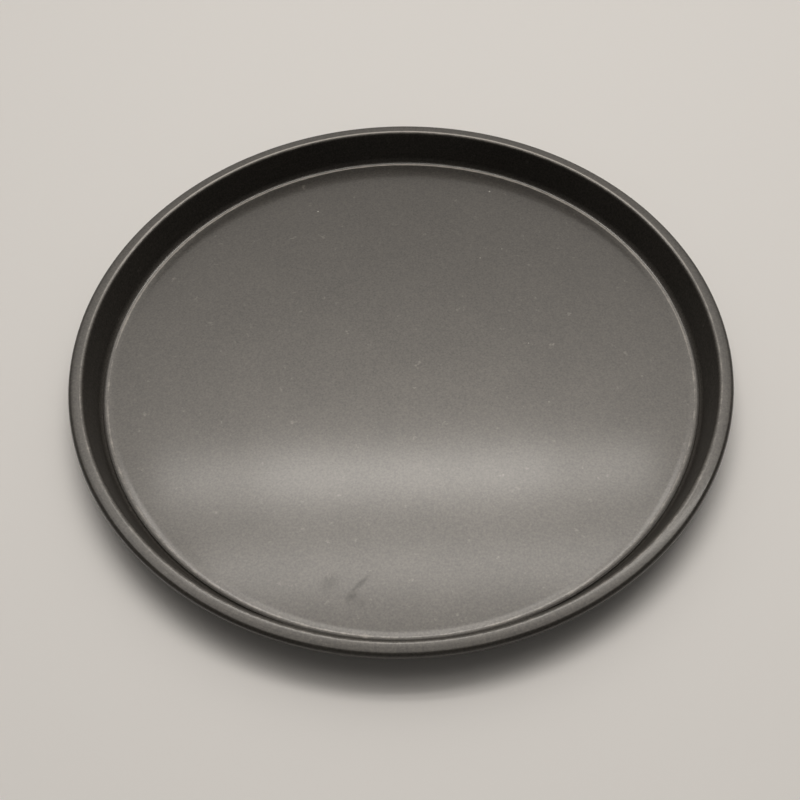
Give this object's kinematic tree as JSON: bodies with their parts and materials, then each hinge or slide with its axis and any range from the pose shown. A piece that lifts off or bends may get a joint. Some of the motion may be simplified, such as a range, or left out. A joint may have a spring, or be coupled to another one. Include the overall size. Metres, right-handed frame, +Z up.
{
  "type": "tart pan",
  "caption": "Shallow round tart pan of dark coated steel: a plain leaning wall with a rolled rim, and a loose base that lies on the wall's ledge and lifts out.",
  "frame": {"origin": "on the pan's axis, in the plane of the ledge's underside, which stands on the table", "axes": "+Z up along the pan's axis, out of the well; the pan is round, so +X and +Y are free"},
  "size_m": [0.29, 0.29, 0.0167],
  "materials": {
    "ring_coat": "satin",
    "base_coat": "satin"
  },
  "bodies": {
    "side_ring": {"side_ring": "ring_coat"},
    "loose_base": {"loose_base": "base_coat"}
  },
  "joints": [
    {"name": "base_lift", "type": "slide", "parent": "side_ring", "child": "loose_base", "axis": [0, 0, 1], "range_m": [0, 0.04]}
  ]
}
